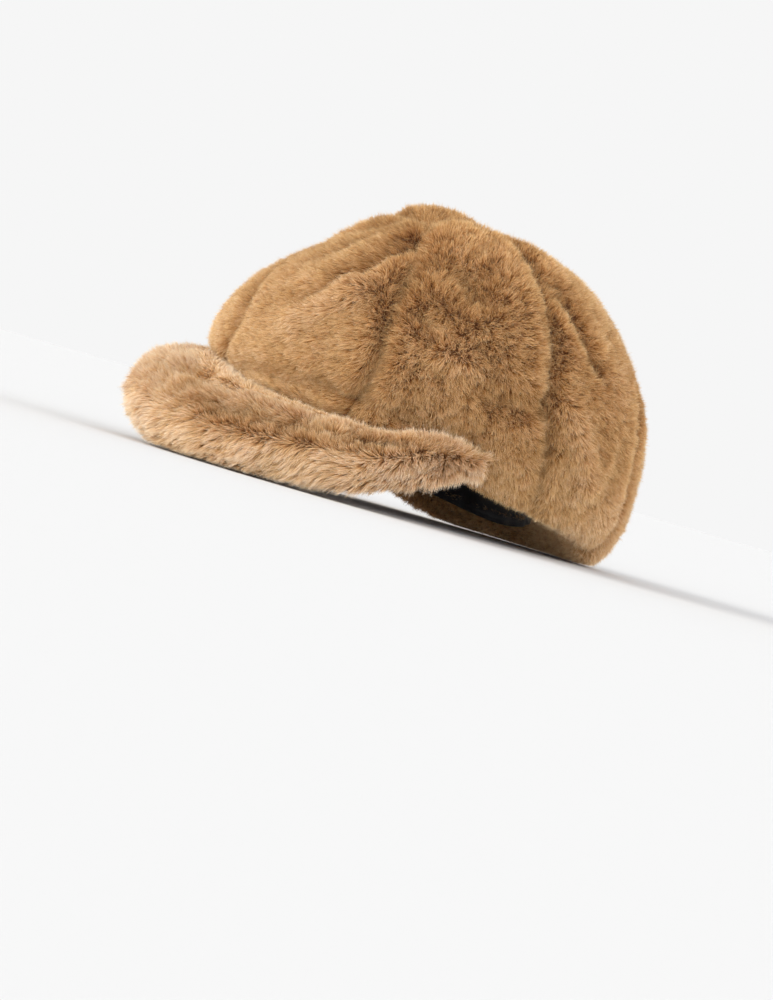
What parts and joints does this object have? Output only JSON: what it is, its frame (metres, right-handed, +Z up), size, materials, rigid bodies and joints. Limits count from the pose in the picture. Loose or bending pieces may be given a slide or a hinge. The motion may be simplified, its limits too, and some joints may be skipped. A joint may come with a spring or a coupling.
{
  "type": "faux fur baker boy cap",
  "caption": "Soft baker boy cap in faux fur: a puffy panelled crown that slouches at the back, a thick fur peak and a smooth band inside the hem.",
  "frame": {"origin": "middle of the cap's plan, on the surface that it rests on", "axes": "+Z up, -Y towards the peak's front, +X towards the wearer's left; the cap rests on its peak and on the droop of its back"},
  "size_m": [0.271, 0.3354, 0.1919],
  "materials": {
    "crown_fur": "short dense camel faux fur, light tips over darker roots",
    "peak_fur": "camel faux fur, a little longer and paler at the lower edge",
    "band_satin": "black satin ribbon, soft gloss"
  },
  "bodies": {
    "root": {"crown_panel_front_left": "crown_fur", "crown_panel_left": "crown_fur", "crown_panel_back_left_side": "crown_fur", "crown_panel_back_left": "crown_fur", "crown_panel_back_right": "crown_fur", "crown_panel_back_right_side": "crown_fur", "crown_panel_right": "crown_fur", "crown_panel_front_right": "crown_fur", "peak": "peak_fur", "inner_band": "band_satin"}
  },
  "joints": []
}
